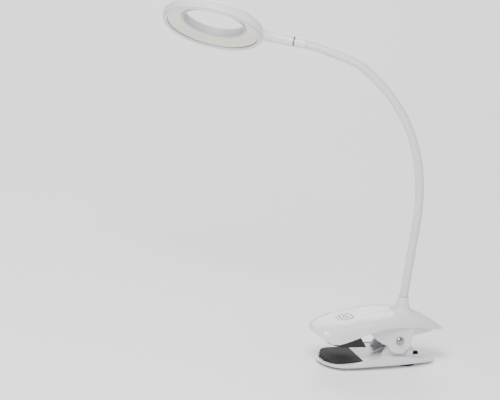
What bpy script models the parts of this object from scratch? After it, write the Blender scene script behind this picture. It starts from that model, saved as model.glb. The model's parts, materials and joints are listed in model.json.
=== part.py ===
"""Clip-on reading lamp: a ring-shaped head on a gooseneck that stands on a spring clip.

The clip is drawn round its hinge pin: x runs along the clip (nose at -x, tail at +x), y across it
and z up, in millimetres from the pin's axis. PIN puts that axis in the row frame, whose origin is
the middle of the lower pad's top face. Blender's unit is the metre, so MM scales every length.
"""

import math

import bmesh
import bpy
from mathutils import Matrix, Vector

MM = 0.001
GAP = 0.3                      # play left between two pieces that touch

# Row frame: the pin's axis seen from the lower pad's top face
PIN = Vector((52.0, 0.0, 19.0))

# Clip, both jaws
WALL = 2.0
FLOOR = 1.4                    # thickness of the upper jaw's frame
FLOOR_RECESS = 0.8             # height of that frame above the shell's rim
COVER = 1.0                    # thickness of the lower jaw's cover
COVER_RECESS = 0.5             # depth of that cover below the shell's rim
TRAY_WALL = 1.6                # thickness of the lower shell's floor
NOSE_R = 22.5                  # plan radius of the upper nose
NOSE_X = -63.2                 # centre of that radius
TAIL_X = 51.0                  # tip of the upper tail
TAPER_X = -40.0                # where the upper jaw starts to narrow
HOLLOW_X = 46.0                # where the hollow inside the upper tail ends
LOW_NOSE_R = 21.5
LOW_NOSE_X = -52.5
LOW_TAIL_X = 48.0
LOW_TAPER_X = -30.0
LOW_HOLLOW_X = 40.0
LOW_BOTTOM = -26.8
FOOT_BOTTOM = -28.0

# Heights along the clip, as (x, z) knots of smooth curves
UPPER_RIM = ((-86, 6.5), (-77, 1.6), (-69, -0.6), (-57, 2.0), (-42, 7.6), (-28, 12.2),
             (-8, 14.4), (15, 12.6), (36, 8.3), (51, 5.0))
UPPER_CROWN = ((-86, 10.6), (-77, 13.6), (-66, 16.2), (-52, 18.6), (-36, 21.8), (-18, 23.9),
               (0, 24.3), (18, 22.6), (33, 17.8), (44, 11.7), (51, 6.9))
LOWER_RIM = ((-75, -23.0), (-69, -22.6), (-55, -21.4), (-40, -20.0), (-25, -16.8),
             (-9, -15.5), (11, -16.8), (26, -20.0), (38, -24.0), (48, -26.0))
LOWER_RIDGE = ((10, -5.6), (22, -12.2), (33, -20.6), (39, -24.2), (48, -26.0))

# Hinge
PIN_R = 1.6
PIN_HOLE_R = 1.68
CHEEK_OUT = (13.6, 16.5)       # y of the upper jaw's two cheeks
CHEEK_IN = (10.2, 13.1)        # y of the lower jaw's two cheeks
CHEEK_OUT_R = 12.5
CHEEK_IN_R = 9.0
CAP_R = 4.0
CAP_RISE = 2.3

# Pads
PAD_FRONT = -69.5
PAD_REAR = -35.0
UPPER_PAD_BOTTOM = -4.7
LOWER_PAD_TOP = -19.0
UPPER_PAD_HALF = 18.5
LOWER_PAD_HALF = 17.0

# Gooseneck
NECK_X = 4.8                   # foot of the neck, on top of the boss
NECK_Z = 38.0
NECK_HEADING = math.radians(32.3)   # plan angle of the neck's plane from -x towards +y
NECK_LENGTH = 296.0
NECK_STRAIGHT = 70.0           # length that rises straight from the boss
NECK_BEND = math.radians(92.0)
NECK_BEND_POWER = 1.3
NECK_END_BEND = math.radians(88.0)
LINKS = 7
FIRST_JOINT = 8.0
LINK_LENGTH = 41.0
SLEEVE_R = 3.9
SLEEVE_BORE = 2.75
CORE_R = 2.4
BEND_CLEARANCE = math.tan(math.radians(15.0))   # half of the widest bend at one joint
STUB_DEPTH = 15.0
BOSS_BORE = 4.2

# Head, in its own frame: x along the handle to the neck, z up out of the ring's top
HEAD_REACH = 87.2              # ring centre to the gooseneck's end
HEAD_ROLL = math.radians(41.0)
HANDLE_END = 75.2
HANDLE_START = 46.6
HANDLE_BORE = 3.4
WASHER = (75.5, 76.2)
COLLAR_START = 76.5
COLLAR_R = 4.7
COLLAR_BORE = 3.3
SPINDLE_R = 3.0
LED_COUNT = 24
LED_RING_R = 36.0

HEAD_SIDES = 56
PLAN_SIDES = 48
TUBE_SIDES = 14


# ---------------------------------------------------------------- scene and mesh helpers

def clear_scene():
    for item in list(bpy.data.objects):
        bpy.data.objects.remove(item, do_unlink=True)


def material(name, colour, roughness, metallic=0.0):
    mat = bpy.data.materials.new(name)
    mat.use_nodes = True
    shader = mat.node_tree.nodes["Principled BSDF"]
    shader.inputs["Base Color"].default_value = (*colour, 1.0)
    shader.inputs["Roughness"].default_value = roughness
    shader.inputs["Metallic"].default_value = metallic
    return mat


def loft(loops, closed=False, folded=False):
    """A closed solid through loops of equal length. Its ends are capped unless it is closed on
    itself; a folded loop runs out and back, and its cap joins the two runs."""
    bm = bmesh.new()
    rows = [[bm.verts.new(point) for point in loop] for loop in loops]
    count = len(rows[0])
    pairs = list(zip(rows, rows[1:]))
    if closed:
        pairs.append((rows[-1], rows[0]))
    for low, high in pairs:
        for i in range(count):
            j = (i + 1) % count
            bm.faces.new((low[i], low[j], high[j], high[i]))
    if folded:
        for row in (rows[0], rows[-1]):
            for i in range(count // 2 - 1):
                j = count - 1 - i
                bm.faces.new((row[i], row[i + 1], row[j - 1], row[j]))
    elif not closed:
        for row in (rows[0], rows[-1]):
            middle = sum((vert.co for vert in row), Vector()) / count
            centre = bm.verts.new(middle)
            for i in range(count):
                bm.faces.new((row[i], row[(i + 1) % count], centre))
    bmesh.ops.recalc_face_normals(bm, faces=bm.faces)
    bmesh.ops.triangulate(bm, faces=bm.faces)
    return bm


def revolve(profile, sides, frame=None):
    """A turned solid: profile is a closed outline of (radius, height) round the frame's z."""
    frame = frame or Matrix.Identity(4)
    loops = []
    for radius, height in profile:
        ring = []
        for i in range(sides):
            turn = 2.0 * math.pi * i / sides
            ring.append(frame @ Vector((radius * math.cos(turn), radius * math.sin(turn), height)))
        loops.append(ring)
    return loft(loops, closed=True)


def rod(start, end, radius, sides=12):
    """A round bar between two points."""
    frame = frame_along(Vector(start), Vector(end) - Vector(start))
    length = (Vector(end) - Vector(start)).length
    loops = []
    for height in (0.0, length):
        loops.append([frame @ Vector((radius * math.cos(a), radius * math.sin(a), height))
                      for a in angles(sides)])
    return loft(loops)


def angles(sides):
    return [2.0 * math.pi * i / sides for i in range(sides)]


def frame_along(origin, direction, across=None):
    """A frame at origin whose z runs along direction and whose y lies near across."""
    z_axis = Vector(direction).normalized()
    across = Vector(across) if across else Vector((0.0, 1.0, 0.0))
    if abs(z_axis.dot(across)) > 0.99:
        across = Vector((1.0, 0.0, 0.0))
    x_axis = across.cross(z_axis).normalized()
    y_axis = z_axis.cross(x_axis)
    turn = Matrix((x_axis, y_axis, z_axis)).transposed().to_4x4()
    return Matrix.Translation(origin) @ turn


def box(centre, size, frame=None):
    bm = bmesh.new()
    bmesh.ops.create_cube(bm, size=1.0)
    place = (frame or Matrix.Identity(4)) @ Matrix.Translation(centre)
    bmesh.ops.transform(bm, matrix=place @ Matrix.Diagonal((*size, 1.0)), verts=bm.verts)
    return bm


def plate(outline, y_low, y_high):
    """A flat plate: outline is a list of (x, z) and the plate stands between two y."""
    return loft([[Vector((x, y, z)) for x, z in outline] for y in (y_low, y_high)])


def join(parts):
    """Several solids that don't touch, as one mesh."""
    whole = bmesh.new()
    for part in parts:
        mesh = bpy.data.meshes.new("part")
        part.to_mesh(mesh)
        whole.from_mesh(mesh)
        part.free()
        bpy.data.meshes.remove(mesh)
    return whole


def add_object(name, bm, pivot=Vector(), mat=None):
    """Store a solid drawn in pin millimetres, with the object's origin at pivot."""
    pivot = Vector(pivot)
    bmesh.ops.translate(bm, vec=-pivot, verts=bm.verts)
    bmesh.ops.scale(bm, vec=(MM, MM, MM), verts=bm.verts)
    mesh = bpy.data.meshes.new(name)
    bm.to_mesh(mesh)
    bm.free()
    mesh.shade_smooth()
    mesh.set_sharp_from_angle(angle=math.radians(35.0))
    item = bpy.data.objects.new(name, mesh)
    item.location = (PIN + pivot) * MM
    bpy.context.collection.objects.link(item)
    if mat:
        mesh.materials.append(mat)
    return item


def combine(item, bm, operation, solver="EXACT"):
    """Cut or add a helper solid with a Boolean modifier."""
    helper = add_object(f"{item.name}_{operation.lower()}", bm)
    helper.hide_render = True
    helper.display_type = "WIRE"
    step = item.modifiers.new(operation.title(), "BOOLEAN")
    step.operation = operation
    step.solver = solver
    step.object = helper


# ---------------------------------------------------------------- clip curves

def smooth(knots, x):
    """Height at x on a smooth curve through the knots."""
    x = min(max(x, knots[0][0]), knots[-1][0])
    for i in range(len(knots) - 1):
        if x <= knots[i + 1][0]:
            break
    (x0, z0), (x1, z1) = knots[i], knots[i + 1]
    before = knots[max(i - 1, 0)]
    after = knots[min(i + 2, len(knots) - 1)]
    slope0 = (z1 - before[1]) / (x1 - before[0])
    slope1 = (after[1] - z0) / (after[0] - x0)
    t = (x - x0) / (x1 - x0)
    span = x1 - x0
    return ((2 * t**3 - 3 * t**2 + 1) * z0 + (t**3 - 2 * t**2 + t) * span * slope0
            + (3 * t**2 - 2 * t**3) * z1 + (t**3 - t**2) * span * slope1)


def half_width(x, nose_x, nose_r, taper_x, tail_x, power, blunt):
    """Half the clip's width at x: a round nose, straight sides and a tail that runs to a tip."""
    if x < nose_x:
        return math.sqrt(max(nose_r**2 - (x - nose_x)**2, 0.0))
    if x < taper_x:
        return nose_r
    along = min((x - taper_x) / (tail_x - taper_x), 1.0)
    return nose_r * max(1.0 - along**power, 0.0)**blunt


def upper_half(x, inset=0.0, tip=TAIL_X):
    return half_width(x, NOSE_X, NOSE_R - inset, TAPER_X, tip, 1.7, 0.61)


def lower_half(x, inset=0.0, tip=LOW_TAIL_X):
    return half_width(x, LOW_NOSE_X, LOW_NOSE_R - inset, LOW_TAPER_X, tip, 1.9, 0.62)


def plan_outline(half, nose, inset, tip):
    """Closed plan outline of a jaw, from its nose to its tip."""
    middle = 0.5 * (nose + inset + tip)
    reach = 0.5 * (tip - nose - inset)
    outline = []
    for turn in angles(PLAN_SIDES):
        x = middle + reach * math.cos(turn)
        y = half(x, inset, tip)
        outline.append((x, y if math.sin(turn) >= 0.0 else -y))
    return outline


def dome_loops(outline, centre_x, edge, crown, square, scales):
    """Loops of a domed surface, from near its middle out to its rim."""
    loops = []
    for scale in scales:
        rise = (1.0 - scale**square)**(1.0 / square)
        loop = []
        for x, y in outline:
            px = centre_x + scale * (x - centre_x)
            loop.append(Vector((px, scale * y, edge(x) * (1.0 - rise) + crown(px) * rise)))
        loops.append(loop)
    return loops


def jaw_shell(half, nose, tip, hollow_tip, edge, crown, square, wall):
    """An open shell: the outer dome, its rim and the inner dome one wall behind it."""
    centre_x = -18.0
    outer = plan_outline(half, nose, 0.0, tip)
    inner = plan_outline(half, nose, WALL, hollow_tip)
    outside = dome_loops(outer, centre_x, edge, crown, square,
                         (0.25, 0.55, 0.75, 0.88, 0.96, 0.99, 1.0))
    inside = dome_loops(inner, centre_x, edge, lambda x: crown(x) + wall, square,
                        (0.3, 0.65, 0.85, 0.96, 1.0))
    return loft(outside + inside[::-1])


def curved_plate(stations, half, height, thickness):
    """A plate across the clip. Its seen face stands at height(x, u) for u from -1 to 1; its
    hidden face is that one moved by the thickness towards the tail and inwards."""
    across = [-math.cos(math.pi * i / 14) for i in range(15)]
    loops = []
    for x in stations:
        reach = half(x)
        seen = [Vector((x, u * reach, height(x, u))) for u in across]
        behind = min(x + abs(thickness), stations[-1])
        slim = reach - 0.5 * abs(thickness)
        hidden = [Vector((behind, u * slim, height(x, u) + thickness)) for u in across]
        loops.append(seen + hidden[::-1])
    return loft(loops, folded=True)


def upper_rim(x):
    return smooth(UPPER_RIM, x)


def upper_crown(x):
    return smooth(UPPER_CROWN, x)


def lower_rim(x):
    return smooth(LOWER_RIM, x)


def arc(radius, start, end, steps):
    """Points of an arc round the pin, by angle in degrees."""
    points = []
    for i in range(steps + 1):
        turn = math.radians(start + (end - start) * i / steps)
        points.append((radius * math.cos(turn), radius * math.sin(turn)))
    return points


# ---------------------------------------------------------------- gooseneck curve

def neck_direction(s):
    """Direction of the gooseneck at the length s from its foot."""
    along = max(s - NECK_STRAIGHT, 0.0) / (NECK_LENGTH - NECK_STRAIGHT)
    bend = min(NECK_BEND * along**NECK_BEND_POWER, NECK_END_BEND)
    flat = math.sin(bend)
    return Vector((-math.cos(NECK_HEADING) * flat, math.sin(NECK_HEADING) * flat, math.cos(bend)))


def neck_point(s):
    """Point of the gooseneck's centre line at the length s, in pin millimetres."""
    point = Vector((NECK_X, 0.0, NECK_Z))
    if s <= 0.0:
        return point + Vector((0.0, 0.0, s))
    steps = 200
    step = s / steps
    for i in range(steps):
        point += neck_direction((i + 0.5) * step) * step
    return point


def neck_side():
    """Normal of the gooseneck's plane, the axis that it bends about at rest."""
    return Vector((math.sin(NECK_HEADING), math.cos(NECK_HEADING), 0.0))


def joint_length(index):
    return FIRST_JOINT + index * LINK_LENGTH


def neck_ring(s, radius, sides):
    frame = frame_along(neck_point(s), neck_direction(s), neck_side())
    return [frame @ Vector((radius * math.cos(a), radius * math.sin(a), 0.0))
            for a in angles(sides)]


def head_frame():
    """The head's frame: at the ring's centre, x along the handle towards the gooseneck."""
    reach = neck_direction(NECK_LENGTH)
    centre = neck_point(NECK_LENGTH) + HEAD_REACH * reach
    x_axis = -reach
    up = Vector((0.0, 0.0, 1.0))
    level = (up - up.dot(x_axis) * x_axis).normalized()
    side = level.cross(x_axis)
    z_axis = math.cos(HEAD_ROLL) * level + math.sin(HEAD_ROLL) * side
    y_axis = z_axis.cross(x_axis)
    turn = Matrix((x_axis, y_axis, z_axis)).transposed().to_4x4()
    return Matrix.Translation(centre) @ turn


# ---------------------------------------------------------------- lower jaw

def build_lower_jaw(mats):
    bm = jaw_shell(lower_half, LOW_NOSE_X - LOW_NOSE_R, LOW_TAIL_X, LOW_HOLLOW_X, lower_rim,
                   lambda x: LOW_BOTTOM, 4.0, TRAY_WALL)
    shell = add_object("lower_shell", bm, mat=mats["shell_white"])
    screw_spots = ((-22.0, -9.0), (-22.0, 9.0), (6.5, -6.8), (6.5, 6.8))
    holes = [turned_screw((x, y, LOW_BOTTOM - 1.0), 2.9, 1.8, 1.5, 5.0) for x, y in screw_spots]
    combine(shell, join(holes), "DIFFERENCE")

    inset = WALL + 0.5
    stations = [-69.4, -66.0, -62.0, -57.0, -52.0, -46.0, -40.0, -35.0, -27.0, -18.0, -8.0, 2.0,
                9.0, 11.0, 16.0, 22.0, 28.0, 33.0, 36.0]

    def cover_height(x, u):
        edge = lower_rim(x) - COVER_RECESS
        if x < 10.0:
            return edge
        rise = max(1.0 - abs(u)**6.0, 0.0)**0.25
        return edge + rise * max(smooth(LOWER_RIDGE, x) - edge, 0.0)

    bm = curved_plate(stations, lambda x: lower_half(x, inset + 0.3, 38.2), cover_height, -COVER)
    frame = add_object("lower_frame", bm, mat=mats["shell_white"])
    foot = lower_rim(-4.0) - 2.6
    outline = [(-16.0, foot)] + arc(CHEEK_IN_R, 197.0, -17.0, 12)
    outline += [(9.6, -8.0), (9.6, foot - 0.6)]
    for side in (-1.0, 1.0):
        low, high = sorted((side * CHEEK_IN[0], side * CHEEK_IN[1]))
        combine(frame, plate(outline, low, high), "UNION", "MANIFOLD")
    for x, y in screw_spots:
        low = LOW_BOTTOM + TRAY_WALL + 2.5 * GAP
        high = cover_height(x, 0.0) - 0.5 * COVER
        tube = [(1.4, low), (2.6, low), (2.6, high), (1.4, high)]
        post = revolve(tube, 12, Matrix.Translation((x, y, 0.0)))
        combine(frame, post, "UNION", "MANIFOLD")
    pin_hole = rod((0, -20, 0), (0, 20, 0), PIN_HOLE_R, 20)
    combine(frame, pin_hole, "DIFFERENCE", "MANIFOLD")
    combine(frame, inlet_cutter(), "DIFFERENCE", "MANIFOLD")

    for number, (x, y) in enumerate(screw_spots, 1):
        screw = turned_screw((x, y, LOW_BOTTOM + 0.1), 2.5, 0.5, 1.1,
                             cover_height(x, 0.0) - COVER - 1.0 - LOW_BOTTOM)
        add_object(f"lower_screw_{number}", screw, mat=mats["steel"])

    bm = pad_solid(LOWER_PAD_HALF, lambda x: LOWER_PAD_TOP,
                   lambda x: cover_height(x, 0.0) + GAP, 0.0)
    add_object("lower_pad", bm, mat=mats["pad_rubber"])

    add_object("rear_foot", foot_solid(3.0, 27.0, 11.0), mat=mats["pad_rubber"])
    add_object("front_foot", foot_solid(-58.0, -29.0, 13.0), mat=mats["pad_rubber"])

    board = box((1.0, 0.0, -22.6), (22.0, 7.4, 1.2))
    add_object("driver_board", board, mat=mats["board_green"])
    add_object("power_inlet", inlet_socket(), mat=mats["inlet_metal"])


def inlet_frame():
    """Frame of the power socket on the tail's near flank; z points out of the shell."""
    return frame_along(Vector((21.5, -9.3, -15.2)), Vector((0.35, -0.72, 0.6)),
                       Vector((0.6, 0.7, -0.4)))


def inlet_cutter():
    return box((0.0, 0.0, 0.0), (3.6, 8.4, 14.0), inlet_frame())


def inlet_socket():
    """A small open-fronted socket shell."""
    frame = inlet_frame()
    wide, tall = 7.6, 2.8
    rim = [(-tall, -wide), (tall, -wide), (tall, wide), (-tall, wide)]

    def loop(shrink, height):
        return [frame @ Vector((0.5 * x * shrink, 0.5 * y * shrink, height)) for x, y in rim]

    return loft([loop(1.0, -4.4), loop(1.0, 0.8), loop(0.8, 0.8), loop(0.8, -3.6)])


def turned_screw(spot, head_r, head_h, shank_r, length):
    """A pan-head screw that points up from its head."""
    x, y, z = spot
    loops = []
    for radius, height in ((head_r, 0.0), (head_r, head_h), (shank_r, head_h), (shank_r, length)):
        loops.append([Vector((x + radius * math.cos(a), y + radius * math.sin(a), z + height))
                      for a in angles(10)])
    return loft(loops)


def foot_solid(low, high, half):
    """A thin rubber foot with round ends under the tray."""
    outline = []
    for turn in angles(24):
        end = high - half if math.cos(turn) > 0.0 else low + half
        outline.append((end + half * math.cos(turn), half * math.sin(turn)))
    loops = []
    for z in (LOW_BOTTOM - GAP, FOOT_BOTTOM):
        loops.append([Vector((x, y, z)) for x, y in outline])
    return loft(loops)


def pad_solid(half, face, seat, slant):
    """A rubber pad with a round front: its face is flat and its back follows the seat. The rear
    end leans forwards by the slant from the face to the back."""
    stations = [PAD_FRONT, -69.0, -66.0, -62.0, -57.0, -52.0, -46.0, -40.0, PAD_REAR]
    loops = []
    for x in stations:
        along = min((x - PAD_FRONT + 0.4) / 17.0, 1.0)
        reach = half * (1.0 - (1.0 - along)**2.4)**0.42
        back = x - slant * max(x + 52.0, 0.0) / (PAD_REAR + 52.0)
        loops.append([Vector((x, -reach, face(x))), Vector((x, reach, face(x))),
                      Vector((back, reach, seat(back))), Vector((back, -reach, seat(back)))])
    return loft(loops)


# ---------------------------------------------------------------- pivot

def build_pivot(mats):
    reach = CHEEK_OUT[1]
    add_object("pivot_pin", rod((0, -reach, 0), (0, reach, 0), PIN_R, 20), mat=mats["steel"])
    for name, side in (("pivot_cap_near", -1.0), ("pivot_cap_far", 1.0)):
        frame = frame_along(Vector((0, side * (reach + GAP), 0)), Vector((0, side, 0)))
        loops = []
        for i in range(5):
            turn = math.pi / 2.0 * i / 5.0
            radius = CAP_R * math.cos(turn)
            height = 0.4 + CAP_RISE * math.sin(turn)
            loops.append([frame @ Vector((radius * math.cos(a), radius * math.sin(a), height))
                          for a in angles(20)])
        base = [frame @ Vector((CAP_R * math.cos(a), CAP_R * math.sin(a), 0.0))
                for a in angles(20)]
        add_object(name, loft([base] + loops), mat=mats["chrome"])

    turns = 5.0
    per_turn = 10
    wire = 0.8
    coil_r = 4.6
    coil_y = 6.0
    path = [Vector((-22.0, -coil_y, -16.3))]
    for i in range(int(turns * per_turn) + 1):
        along = i / (turns * per_turn)
        turn = math.radians(250.0) - 2.0 * math.pi * turns * along
        path.append(Vector((coil_r * math.cos(turn), coil_y * (2.0 * along - 1.0),
                            coil_r * math.sin(turn))))
    path.append(Vector((-20.0, coil_y, 13.2)))
    loops = []
    for i, point in enumerate(path):
        ahead = path[min(i + 1, len(path) - 1)] - path[max(i - 1, 0)]
        frame = frame_along(point, ahead, Vector((0.0, 1.0, 0.0)))
        loops.append([frame @ Vector((wire * math.cos(a), wire * math.sin(a), 0.0))
                      for a in angles(5)])
    add_object("clip_spring", loft(loops), mat=mats["steel"])


# ---------------------------------------------------------------- upper jaw

def build_upper_jaw(mats):
    bm = jaw_shell(upper_half, NOSE_X - NOSE_R, TAIL_X, HOLLOW_X, upper_rim, upper_crown, 4.5,
                   -WALL)
    shell = add_object("upper_shell", bm, mat=mats["shell_white"])
    profile = [(BOSS_BORE + 0.1, 21.9), (13.4, 21.9), (13.4, 22.5), (10.6, 24.4), (8.2, 26.6),
               (6.6, 29.6), (5.6, 33.0), (5.1, NECK_Z - 0.4), (4.9, NECK_Z),
               (BOSS_BORE + 0.1, NECK_Z)]
    axis = Matrix.Translation((NECK_X, 0.0, 0.0))
    bm = rod((NECK_X, 0, 15), (NECK_X, 0, 28), BOSS_BORE + 1.2, 32)
    combine(shell, bm, "DIFFERENCE")
    combine(shell, revolve(profile, 32, axis), "UNION")

    inset = WALL + 0.9

    def frame_half(x):
        return upper_half(x, inset, 42.4)

    def floor_height(x, u):
        return upper_rim(x) + FLOOR_RECESS

    def belly_height(x, u):
        edge = floor_height(x, u)
        fall = max(1.0 - abs(u)**6.0, 0.0)**0.22
        return edge - fall * (edge - 1.2 - 0.09 * (x - 13.0))

    belly = curved_plate([14.0, 20.0, 27.0, 34.0, 39.6], frame_half, belly_height, FLOOR)
    add_object("upper_tail_cover", belly, mat=mats["shell_white"])

    stations = [-81.0, -78.5, -75.0, -70.0, -66.0, -62.0, -57.0, -52.0, -46.0, -40.0, -32.0,
                -20.0, -8.0, 4.0, 12.4]
    bm = curved_plate(stations, frame_half, floor_height, FLOOR)
    frame = add_object("upper_frame", bm, mat=mats["shell_white"])
    crest = [(12.4, upper_rim(12.4) - 0.5), (1.0, upper_rim(1.0) - 0.5)]
    crest += [(x, upper_rim(x) + FLOOR_RECESS + 0.7) for x in (-1.0, -8.0, -20.0, -32.0)]
    outline = [(12.4, 0.6)] + arc(CHEEK_OUT_R, -8.0, -158.0, 14) + [(-17.5, -2.6), (-24.0, 1.2)]
    outline += [(-29.5, 5.6), (-32.0, 9.6)]
    outline = outline + crest[::-1]
    for side in (-1.0, 1.0):
        low, high = sorted((side * CHEEK_OUT[0], side * CHEEK_OUT[1]))
        combine(frame, plate(outline, low, high), "UNION", "MANIFOLD")
    for cutter in (rod((0, -20, 0), (0, 20, 0), PIN_HOLE_R, 20),
                   rod((NECK_X, 0, 5), (NECK_X, 0, 30), CORE_R + 1.2, 16)):
        combine(frame, cutter, "DIFFERENCE", "MANIFOLD")
    screw_spots = ((-60.0, 0.0), (-28.0, 0.0))
    holes = [rod((x, y, -6), (x, y, 22), 1.5) for x, y in screw_spots]
    combine(frame, join(holes), "DIFFERENCE", "MANIFOLD")
    for number, (x, y) in enumerate(screw_spots, 1):
        low = upper_rim(x) + FLOOR_RECESS - 2.0
        length = upper_crown(x) - WALL - 1.5 - low
        screw = turned_screw((x, y, low), 2.2, 0.8, 1.1, length)
        add_object(f"upper_screw_{number}", screw, mat=mats["steel"])

    bm = pad_solid(UPPER_PAD_HALF, lambda x: UPPER_PAD_BOTTOM,
                   lambda x: floor_height(x, 0.0) - GAP, 9.0)
    pad = add_object("upper_pad", bm, mat=mats["pad_rubber"])
    combine(pad, rod((-60.0, 0, -1.5), (-60.0, 0, 8.0), 2.8), "DIFFERENCE")

    board = box((-44.0, 0.0, 13.1), (18.0, 18.0, 1.0))
    add_object("touch_board", board, mat=mats["board_green"])

    nut = [(CORE_R + 0.7, 16.6), (5.6, 16.6), (5.6, 20.2), (CORE_R + 0.7, 20.2)]
    add_object("neck_base_nut", revolve(nut, 6, axis), mat=mats["steel"])


# ---------------------------------------------------------------- gooseneck

def build_neck(mats):
    """One stretch of sleeve and core for each link; stretch 0 is fixed in the boss."""
    for index in range(LINKS + 1):
        first = index == 0
        last = index == LINKS
        low = -STUB_DEPTH if first else joint_length(index - 1)
        high = NECK_LENGTH if last else joint_length(index)
        pivot = neck_point(max(low, 0.0) if first else low)
        slot = SLEEVE_R * BEND_CLEARANCE + 0.15
        bore_slot = SLEEVE_BORE * BEND_CLEARANCE + 0.15
        start = -8.0 if first else low + slot
        end = NECK_LENGTH - GAP if last else high - slot
        start_bore = start if first else low + bore_slot
        end_bore = end if last else high - bore_slot
        rings = 2 if low < NECK_STRAIGHT - LINK_LENGTH else 4
        outer = [neck_ring(start + (end - start) * i / (rings - 1), SLEEVE_R, TUBE_SIDES)
                 for i in range(rings)]
        inner = [neck_ring(start_bore + (end_bore - start_bore) * i / (rings - 1), SLEEVE_BORE,
                           TUBE_SIDES) for i in range(rings)]
        sleeve = loft(outer + inner[::-1], closed=True)
        add_object(f"neck_sleeve_{index}", sleeve, pivot, mats["sleeve_silicone"])

        start = low if first else low + CORE_R * BEND_CLEARANCE + 0.15
        end = NECK_LENGTH + 2.0 if last else high - CORE_R * BEND_CLEARANCE - 0.15
        core = loft([neck_ring(start + (end - start) * i / (rings - 1), CORE_R, 10)
                     for i in range(rings)])
        add_object(f"neck_core_{index}", core, pivot, mats["steel"])


# ---------------------------------------------------------------- head

def handle_loops():
    """Sections of the handle, round at the collar and wider where it joins the ring."""
    loops = []
    for x, half_y, half_z in ((HANDLE_START, 9.6, 5.0), (50.0, 7.9, 5.2), (54.0, 6.7, 5.4),
                              (60.0, 5.8, 5.4), (67.0, 5.4, 5.3), (HANDLE_END - 0.6, 5.2, 5.2),
                              (HANDLE_END, 4.9, 4.9)):
        loops.append([Vector((x, half_y * math.cos(a), half_z * math.sin(a)))
                      for a in angles(24)])
    return loops


def build_head(mats):
    frame = head_frame()
    centre = frame.to_translation()

    def turned(name, profile, mat):
        return add_object(name, revolve(profile, HEAD_SIDES, frame), centre, mats[mat])

    shell = turned("head_shell", [
        (29.6, 7.2), (30.4, 7.7), (34.0, 7.8), (38.5, 7.1), (42.6, 5.6), (45.8, 3.2), (47.6, 0.6),
        (47.9, -2.2), (46.8, -5.4), (45.4, -5.4), (46.2, -2.2), (44.6, 1.8), (41.0, 4.5),
        (29.6, 6.0)], "head_white")
    combine(shell, transformed(loft(handle_loops()), frame), "UNION")
    tunnel = rod(frame @ Vector((43.0, 0, 0)), frame @ Vector((HANDLE_END + 1, 0, 0)),
                 HANDLE_BORE, 20)
    combine(shell, tunnel, "DIFFERENCE")

    turned("head_bezel", [
        (42.7, -5.4), (43.2, -6.5), (44.6, -6.9), (46.3, -6.3), (46.5, -5.7), (44.9, -5.7),
        (44.9, -3.8), (43.7, -3.8)], "head_white")
    turned("head_inner_collar", [
        (28.4, 7.4), (28.4, 0.0), (29.0, -0.6), (30.4, -0.6), (30.4, 0.6), (29.3, 0.9),
        (29.3, 7.4)], "head_trim")
    turned("head_diffuser", [
        (30.7, 0.2), (37.0, -2.1), (42.4, -4.6), (42.4, -3.4), (37.0, -0.8), (30.7, 1.5)],
        "diffuser_warm")
    board = turned("led_board", [(32.0, 3.2), (40.0, 3.2), (40.0, 4.2), (32.0, 4.2)],
                   "board_white")

    chips = []
    for i in range(LED_COUNT):
        turn = Matrix.Rotation(2.0 * math.pi * (i + 0.5) / LED_COUNT, 4, "Z")
        chips.append(box((LED_RING_R, 0.0, 2.9), (2.8, 3.5, 0.8), frame @ turn))
    combine(board, join(chips), "UNION")

    holes = []
    for i in range(3):
        spot = frame @ Matrix.Rotation(2.0 * math.pi * i / 3.0, 4, "Z")
        screw = transformed(turned_screw((38.0, 0.0, 2.0), 1.2, 0.8, 0.6, 2.8), spot)
        add_object(f"led_board_screw_{i + 1}", screw, centre, mats["steel"])
        holes.append(rod(spot @ Vector((38.0, 0, 1.5)), spot @ Vector((38.0, 0, 5.4)), 0.9))
    combine(board, join(holes), "DIFFERENCE")

    along = frame @ Matrix.Rotation(math.pi / 2.0, 4, "Y")

    def sleeve(name, low, high, outer, inner, mat):
        profile = [(inner, low), (outer, low), (outer, high), (inner, high)]
        return add_object(name, revolve(profile, 24, along), centre, mats[mat])

    sleeve("swivel_washer", WASHER[0], WASHER[1], COLLAR_R - 0.2, SPINDLE_R + 0.4, "washer_dark")
    sleeve("swivel_spindle", 60.0, 84.0, SPINDLE_R, 2.0, "steel")
    profile = [(COLLAR_BORE, COLLAR_START), (4.4, COLLAR_START), (COLLAR_R, COLLAR_START + 0.4),
               (COLLAR_R, HEAD_REACH - 0.8), (4.4, HEAD_REACH), (COLLAR_BORE, HEAD_REACH)]
    add_object("neck_collar", revolve(profile, 24, along), centre, mats["head_white"])


def transformed(bm, matrix):
    bmesh.ops.transform(bm, matrix=matrix, verts=bm.verts)
    return bm


def main():
    clear_scene()
    mats = {
        "shell_white": material("shell_white", (0.90, 0.90, 0.92), 0.28),
        "head_white": material("head_white", (0.90, 0.90, 0.91), 0.32),
        "head_trim": material("head_trim", (0.80, 0.79, 0.83), 0.35),
        "diffuser_warm": material("diffuser_warm", (0.97, 0.93, 0.84), 0.45),
        "sleeve_silicone": material("sleeve_silicone", (0.88, 0.88, 0.86), 0.5),
        "pad_rubber": material("pad_rubber", (0.02, 0.02, 0.02), 0.75),
        "washer_dark": material("washer_dark", (0.12, 0.12, 0.13), 0.6),
        "chrome": material("chrome", (0.85, 0.85, 0.87), 0.08, 1.0),
        "steel": material("steel", (0.55, 0.56, 0.58), 0.35, 1.0),
        "board_green": material("board_green", (0.05, 0.25, 0.12), 0.5),
        "board_white": material("board_white", (0.85, 0.86, 0.86), 0.4),
        "led_yellow": material("led_yellow", (0.90, 0.75, 0.25), 0.35),
        "inlet_metal": material("inlet_metal", (0.25, 0.25, 0.27), 0.35, 1.0),
    }
    build_lower_jaw(mats)
    build_pivot(mats)
    build_upper_jaw(mats)
    build_neck(mats)
    build_head(mats)


main()
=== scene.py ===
"""Looks for the clip-on reading lamp: materials, the soft neck sleeve, the touch mark and the stage."""

import json
import math

import bmesh
import bpy
from mathutils import Matrix, Vector


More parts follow.
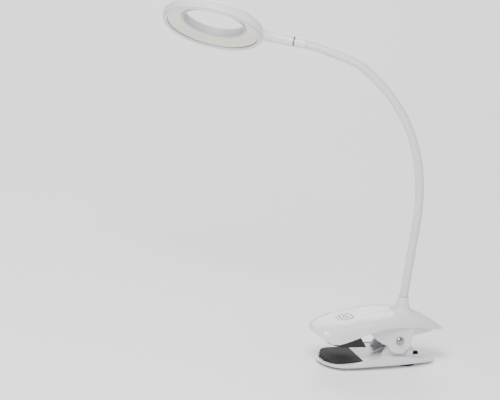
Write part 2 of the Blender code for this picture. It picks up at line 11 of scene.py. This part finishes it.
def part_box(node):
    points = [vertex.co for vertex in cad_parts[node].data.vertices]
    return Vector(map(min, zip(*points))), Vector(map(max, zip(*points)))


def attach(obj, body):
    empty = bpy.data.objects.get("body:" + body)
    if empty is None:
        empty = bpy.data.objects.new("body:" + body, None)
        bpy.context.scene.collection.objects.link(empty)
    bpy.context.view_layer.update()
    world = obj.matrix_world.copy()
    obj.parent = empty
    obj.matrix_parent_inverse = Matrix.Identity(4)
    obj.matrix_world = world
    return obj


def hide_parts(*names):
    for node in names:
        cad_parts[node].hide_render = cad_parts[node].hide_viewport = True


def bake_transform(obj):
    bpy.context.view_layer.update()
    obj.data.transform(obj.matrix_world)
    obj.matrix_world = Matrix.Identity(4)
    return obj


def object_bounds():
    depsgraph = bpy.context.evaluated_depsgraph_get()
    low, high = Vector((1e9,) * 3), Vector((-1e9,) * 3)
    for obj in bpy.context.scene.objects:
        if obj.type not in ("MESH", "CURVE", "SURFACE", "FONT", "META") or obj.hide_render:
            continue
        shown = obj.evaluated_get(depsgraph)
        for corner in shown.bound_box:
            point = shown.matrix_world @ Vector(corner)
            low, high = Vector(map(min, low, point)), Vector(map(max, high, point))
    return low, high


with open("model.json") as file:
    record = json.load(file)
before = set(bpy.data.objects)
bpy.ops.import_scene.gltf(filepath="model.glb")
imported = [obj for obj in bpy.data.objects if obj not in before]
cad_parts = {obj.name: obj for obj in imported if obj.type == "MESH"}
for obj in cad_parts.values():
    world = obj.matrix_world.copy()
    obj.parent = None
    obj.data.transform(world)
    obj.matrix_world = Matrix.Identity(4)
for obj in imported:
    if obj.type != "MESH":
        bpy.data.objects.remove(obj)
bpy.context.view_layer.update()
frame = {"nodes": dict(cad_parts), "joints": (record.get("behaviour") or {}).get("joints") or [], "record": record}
record = frame["record"]
nodes = frame["nodes"]
joints = {joint["name"]: joint for joint in frame["joints"]}

# All lengths are metres. Angles are degrees.
PIN = Vector(joints["jaw_hinge"]["pos_m"])

# Camera: its right and backward directions, and the centre of its view, seen from the pin
RIGHT = Vector((0.895, -0.418, 0.157))
BACK = Vector((-0.446, -0.825, 0.348))
VIEW_WIDTH = 0.463
CENTRE_RIGHT = -0.1319
CENTRE_UP = 0.1241
LENS = 1000.0
CLIP_START = 0.1
CLIP_END = 60.0

# Surfaces
BROAD_SCALE = 40.0
RELIEF_DEPTH = 0.0002
COAT_ROUGHNESS = 0.18
SUBSURFACE_DEPTH = 0.004
CAD_SHARP_ANGLE = 32.0
ADDED_SHARP_ANGLE = 40.0

# Neck sleeve
SLEEVE_SIDES = 28
SLEEVE_STEP = 0.0012
SLEEVE_SKIN = 0.0001        # how far the sleeve stands outside the one it replaces
SLEEVE_SINK = 0.007         # how far below the end of the fixed stretch the sleeve starts
COLLAR_REACH = 0.0108       # from the head's swivel back to where the sleeve ends
PLACE_SLACK = 1e-6

# Touch mark
MARK_AHEAD = 0.0517         # from the pin forwards to the mark's middle
MARK_RAISE = 0.00018
PROBE_HEIGHT = 0.2
SQUARE_HALF = 0.0056
SQUARE_CORNER = 0.0016
SQUARE_STROKE = 0.0009
SQUARE_STEP = 0.0005
CORNER_POINTS = 7
SYMBOL_RADIUS = 0.0024
SYMBOL_STROKE = 0.0008
SYMBOL_START = 35
SYMBOL_END = 330
SYMBOL_STEP = 8
STEM_START = 0.0006
STEM_STEP = 0.0003
STEM_POINTS = 8
BARS = 5
BAR_AHEAD = 0.0084
BAR_HALF = 0.0004
BAR_PITCH = 0.0021
BAR_STROKE = 0.0011

# Stage
FLOOR_HALF = 4.0
FLOOR_DROP = 0.0002
LIGHT_TARGET = (0.0, 0.05, 0.12)
SKY_COLOUR = (0.85, 0.87, 0.9, 1.0)
SKY_STRENGTH = 0.75


# ---------------------------------------------------------------- materials

def noise(tree, coords, scale, detail):
    """A noise texture in the object's own coordinates."""
    node = tree.nodes.new("ShaderNodeTexNoise")
    node.inputs["Scale"].default_value = scale
    node.inputs["Detail"].default_value = detail
    tree.links.new(coords.outputs["Object"], node.inputs["Vector"])
    return node


def shade(name, colour, roughness, metallic=0.0, mottle=0.02, bump=0.05, grain=900.0, coat=0.0,
          subsurface=0.0):
    """A surface with a fine moulded grain and small differences in roughness."""
    mat = bpy.data.materials.new(name)
    mat.use_nodes = True
    tree = mat.node_tree
    shader = tree.nodes["Principled BSDF"]
    shader.inputs["Base Color"].default_value = (*colour, 1.0)
    shader.inputs["Metallic"].default_value = metallic
    shader.inputs["Coat Weight"].default_value = coat
    shader.inputs["Coat Roughness"].default_value = COAT_ROUGHNESS
    if subsurface:
        shader.inputs["Subsurface Weight"].default_value = subsurface
        shader.inputs["Subsurface Scale"].default_value = SUBSURFACE_DEPTH
    coords = tree.nodes.new("ShaderNodeTexCoord")
    broad = noise(tree, coords, BROAD_SCALE, detail=3.0)
    spread = tree.nodes.new("ShaderNodeMapRange")
    spread.inputs["To Min"].default_value = roughness - mottle
    spread.inputs["To Max"].default_value = roughness + mottle
    tree.links.new(broad.outputs["Fac"], spread.inputs["Value"])
    tree.links.new(spread.outputs["Result"], shader.inputs["Roughness"])
    fine = noise(tree, coords, grain, detail=2.0)
    relief = tree.nodes.new("ShaderNodeBump")
    relief.inputs["Strength"].default_value = bump
    relief.inputs["Distance"].default_value = RELIEF_DEPTH
    tree.links.new(fine.outputs["Fac"], relief.inputs["Height"])
    tree.links.new(relief.outputs["Normal"], shader.inputs["Normal"])
    return mat


MATERIALS = {
    "shell_white": shade("shell_white", (0.68, 0.68, 0.71), 0.30, coat=0.25),
    "head_white": shade("head_white", (0.70, 0.70, 0.72), 0.34, coat=0.15),
    # head_trim: the collar round the head's hole is white plastic; its lavender grey colour here is painted shade,
    # a shaded copy of the head's white
    "head_trim": shade("head_trim", (0.52, 0.51, 0.56), 0.42),
    "diffuser_warm": shade("diffuser_warm", (0.90, 0.84, 0.72), 0.5, subsurface=0.2, grain=1600.0),
    "sleeve_silicone": shade("sleeve_silicone", (0.64, 0.64, 0.61), 0.48, subsurface=0.25,
                             mottle=0.05, bump=0.1),
    "pad_rubber": shade("pad_rubber", (0.012, 0.012, 0.013), 0.7, mottle=0.08, bump=0.3,
                        grain=1400.0),
    "washer_dark": shade("washer_dark", (0.05, 0.05, 0.055), 0.55),
    "chrome": shade("chrome", (0.30, 0.30, 0.32), 0.08, metallic=1.0, mottle=0.03),
    "steel": shade("steel", (0.5, 0.5, 0.52), 0.36, metallic=1.0, mottle=0.1, bump=0.12),
    "board_green": shade("board_green", (0.02, 0.16, 0.06), 0.4),
    "board_white": shade("board_white", (0.78, 0.79, 0.79), 0.4),
    "inlet_metal": shade("inlet_metal", (0.16, 0.16, 0.17), 0.35, metallic=1.0),
}


def finish_mesh(mesh, mat, sharp_angle):
    """One material and smooth shading, with the sharp edges left sharp."""
    mesh.materials.append(mat)
    mesh.shade_smooth()
    mesh.set_sharp_from_angle(angle=math.radians(sharp_angle))


def finish_cad_nodes():
    """Each piece of the CAD gets the material of its slot in the record."""
    for entry in record["subparts"]:
        mesh = nodes[entry["node"]].data
        mesh.materials.clear()
        finish_mesh(mesh, MATERIALS[entry["material_slot"]], CAD_SHARP_ANGLE)


def link_mesh(name, bm):
    """A new object in the scene from a bmesh, which is freed."""
    mesh = bpy.data.meshes.new(name)
    bm.to_mesh(mesh)
    bm.free()
    item = bpy.data.objects.new(name, mesh)
    bpy.context.scene.collection.objects.link(item)
    return item


def add_piece(name, bm, slot_name):
    """A new piece of the lamp, with the finish of a slot in the record."""
    piece = link_mesh(name, bm)
    finish_mesh(piece.data, MATERIALS[slot_name], ADDED_SHARP_ANGLE)
    return piece


# ---------------------------------------------------------------- neck sleeve

def neck_knots():
    """Points that the neck's centre line goes through, and its direction at each of them."""
    hinges = [Vector(joint["pos_m"]) for joint in frame["joints"] if joint["name"].startswith("neck")]
    swivel = Vector(joints["head_swivel"]["pos_m"])
    backward = Vector(joints["head_swivel"]["axis"])
    start = Vector((hinges[0].x, 0.0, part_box("neck_sleeve_0")[1].z - SLEEVE_SINK))
    knots = [start] + hinges + [swivel + backward * COLLAR_REACH]
    upright = Vector((0.0, 0.0, 1.0))
    tangents = [upright, upright]
    tangents += [(after - before).normalized() for before, after in zip(knots[1:], knots[3:])]
    tangents.append(-backward)
    tangents[-2] = (0.5 * (knots[-1] - knots[-3]).normalized() + 0.5 * tangents[-1]).normalized()
    return knots, tangents


def neck_path(knots, tangents):
    """The centre line as cubic curves between the knots, each point with its place along them."""
    path = []
    for i, (start, end) in enumerate(zip(knots, knots[1:])):
        reach = (end - start).length
        count = 2 * max(int(0.5 * reach / SLEEVE_STEP), 2)
        for k in range(count):
            t = k / count
            start_share = 2 * t**3 - 3 * t**2 + 1
            start_pull = t**3 - 2 * t**2 + t
            end_share = 3 * t**2 - 2 * t**3
            end_pull = t**3 - t**2
            point = (start_share * start + start_pull * reach * tangents[i] + end_share * end
                     + end_pull * reach * tangents[i + 1])
            path.append((point, i + t))
    path.append((knots[-1], len(knots) - 1.0))
    return path


def sleeve_tube(points, indices, radius):
    """An open tube round the points that have these indices."""
    across = Vector((0.0, 1.0, 0.0))
    angles = [2.0 * math.pi * n / SLEEVE_SIDES for n in range(SLEEVE_SIDES)]
    bm = bmesh.new()
    rows = []
    for k in indices:
        ahead = points[min(k + 1, len(points) - 1)] - points[max(k - 1, 0)]
        tangent = ahead.normalized()
        side = across.cross(tangent).normalized()
        other = tangent.cross(side)
        rows.append([bm.verts.new(points[k] + radius * (math.cos(a) * side + math.sin(a) * other))
                     for a in angles])
    for near, far in zip(rows, rows[1:]):
        for n in range(SLEEVE_SIDES):
            m = (n + 1) % SLEEVE_SIDES
            bm.faces.new((near[n], near[m], far[m], far[n]))
    bmesh.ops.recalc_face_normals(bm, faces=bm.faces)
    return bm


def build_sleeve():
    """The soft sleeve, in pieces that each bend across one joint and meet between joints."""
    knots, tangents = neck_knots()
    path = neck_path(knots, tangents)
    points = [point for point, _ in path]
    low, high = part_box("neck_sleeve_0")
    radius = 0.5 * (high.x - low.x) + SLEEVE_SKIN
    count = len(knots) - 2
    for index in range(count):
        first = 0.0 if index == 0 else index + 0.5
        last = float(len(knots) - 1) if index == count - 1 else index + 1.5
        stretch = [k for k, (_, at) in enumerate(path)
                   if first - PLACE_SLACK <= at <= last + PLACE_SLACK]
        bm = sleeve_tube(points, stretch, radius)
        piece = add_piece(f"sleeve_{index}", bm, "sleeve_silicone")
        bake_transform(piece)
        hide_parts(f"neck_sleeve_{index}")
        if index == count - 1:
            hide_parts(f"neck_sleeve_{index + 1}")


# ---------------------------------------------------------------- touch mark

def skin_height(x, y):
    """Height of the upper shell's outside at a point of the plan."""
    above = Vector((x, y, PROBE_HEIGHT))
    _, place, _, _ = nodes["upper_shell"].ray_cast(above, Vector((0.0, 0.0, -1.0)))
    return place.z


def ribbon(path, width, closed=False):
    """A flat line that lies on the shell."""
    bm = bmesh.new()
    rows = []
    count = len(path)
    for i, (x, y) in enumerate(path):
        back = path[i - 1] if closed or i else path[0]
        ahead = path[(i + 1) % count] if closed or i < count - 1 else path[-1]
        along = Vector((ahead[0] - back[0], ahead[1] - back[1])).normalized()
        side = Vector((-along.y, along.x)) * width / 2.0
        pair = []
        for sign in (-1.0, 1.0):
            px, py = x + sign * side.x, y + sign * side.y
            pair.append(bm.verts.new((px, py, skin_height(px, py) + MARK_RAISE)))
        rows.append(pair)
    pairs = list(zip(rows, rows[1:]))
    if closed:
        pairs.append((rows[-1], rows[0]))
    for near, far in pairs:
        bm.faces.new((near[0], far[0], far[1], near[1]))
    bmesh.ops.recalc_face_normals(bm, faces=bm.faces)
    return bm


def square_path(cx, cy, half, corner):
    """A square outline with round corners."""
    path = []
    for quarter in range(4):
        turn = quarter * math.pi / 2.0
        x = (half - corner) * (1.0 if math.cos(turn + math.pi / 4.0) > 0 else -1.0)
        y = (half - corner) * (1.0 if math.sin(turn + math.pi / 4.0) > 0 else -1.0)
        for k in range(CORNER_POINTS):
            a = turn + math.pi / 2.0 * k / (CORNER_POINTS - 1)
            path.append((cx + x + corner * math.cos(a), cy + y + corner * math.sin(a)))
    return path


def dense(path, step):
    """A closed outline, with points added wherever two are further apart than the step."""
    out = []
    for (x0, y0), (x1, y1) in zip(path, path[1:] + path[:1]):
        count = max(int(math.hypot(x1 - x0, y1 - y0) / step), 1)
        out += [(x0 + (x1 - x0) * k / count, y0 + (y1 - y0) * k / count) for k in range(count)]
    return out


def build_mark():
    """A plain touch mark: a square, an open ring with a stem, and short bars in front of it."""
    cx, cy = PIN.x - MARK_AHEAD, PIN.y
    square = dense(square_path(cx, cy, SQUARE_HALF, SQUARE_CORNER), SQUARE_STEP)
    turns = [math.radians(a) for a in range(SYMBOL_START, SYMBOL_END, SYMBOL_STEP)]
    ring = [(cx + SYMBOL_RADIUS * math.cos(a), cy + SYMBOL_RADIUS * math.sin(a)) for a in turns]
    stem = [(cx + STEM_START + STEM_STEP * k, cy) for k in range(STEM_POINTS)]
    strokes = [
        ribbon(square, SQUARE_STROKE, closed=True),
        ribbon(ring, SYMBOL_STROKE),
        ribbon(stem, SYMBOL_STROKE),
    ]
    for k in range(BARS):
        x, y = cx - BAR_AHEAD, cy + BAR_PITCH * (k - BARS // 2)
        strokes.append(ribbon([(x, y - BAR_HALF), (x, y + BAR_HALF)], BAR_STROKE))
    for index, bm in enumerate(strokes):
        piece = add_piece(f"touch_mark_{index}", bm, "washer_dark")
        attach(piece, "upper_jaw")


# ---------------------------------------------------------------- stage, light and camera

def build_floor():
    """A plain pale floor just under the lamp."""
    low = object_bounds()[0]
    bm = bmesh.new()
    bmesh.ops.create_grid(bm, x_segments=1, y_segments=1, size=FLOOR_HALF)
    bmesh.ops.translate(bm, vec=(0.0, 0.0, low.z - FLOOR_DROP), verts=bm.verts)
    floor = link_mesh("floor", bm)
    floor.data.materials.append(shade("floor", (0.93, 0.93, 0.93), 0.6, mottle=0.05))


def area_light(name, place, size, power, colour):
    """A square soft light that faces the lamp."""
    data = bpy.data.lights.new(name, "AREA")
    data.size = size
    data.energy = power
    data.color = colour
    item = bpy.data.objects.new(name, data)
    bpy.context.scene.collection.objects.link(item)
    item.location = place
    item.rotation_mode = "QUATERNION"
    item.rotation_quaternion = (Vector(LIGHT_TARGET) - Vector(place)).to_track_quat("-Z", "Y")


def build_lights():
    """Three soft lights and an even pale sky."""
    area_light("key", (-0.7, -0.6, 1.3), size=0.6, power=34.0, colour=(1.0, 0.98, 0.95))
    area_light("fill", (1.2, -0.9, 0.7), size=1.2, power=6.0, colour=(0.95, 0.97, 1.0))
    area_light("rim", (0.4, 1.3, 0.9), size=0.9, power=14.0, colour=(1.0, 1.0, 1.0))
    world = bpy.data.worlds.new("studio")
    world.use_nodes = True
    background = world.node_tree.nodes["Background"]
    background.inputs["Color"].default_value = SKY_COLOUR
    background.inputs["Strength"].default_value = SKY_STRENGTH
    bpy.context.scene.world = world


def build_camera():
    """A long lens from the front left, a little above the lamp."""
    back = BACK.normalized()
    right = (RIGHT - RIGHT.dot(back) * back).normalized()
    up = back.cross(right)
    data = bpy.data.cameras.new("camera")
    data.lens = LENS
    data.dof.use_dof = False
    data.clip_start = CLIP_START
    data.clip_end = CLIP_END
    distance = VIEW_WIDTH * LENS / data.sensor_width
    aim = PIN + right * CENTRE_RIGHT + up * CENTRE_UP
    item = bpy.data.objects.new("camera", data)
    bpy.context.scene.collection.objects.link(item)
    turn = Matrix((right, up, back)).transposed().to_4x4()
    item.matrix_world = Matrix.Translation(aim + back * distance) @ turn
    bpy.context.scene.camera = item


finish_cad_nodes()
build_sleeve()
build_mark()
build_floor()
build_lights()
build_camera()
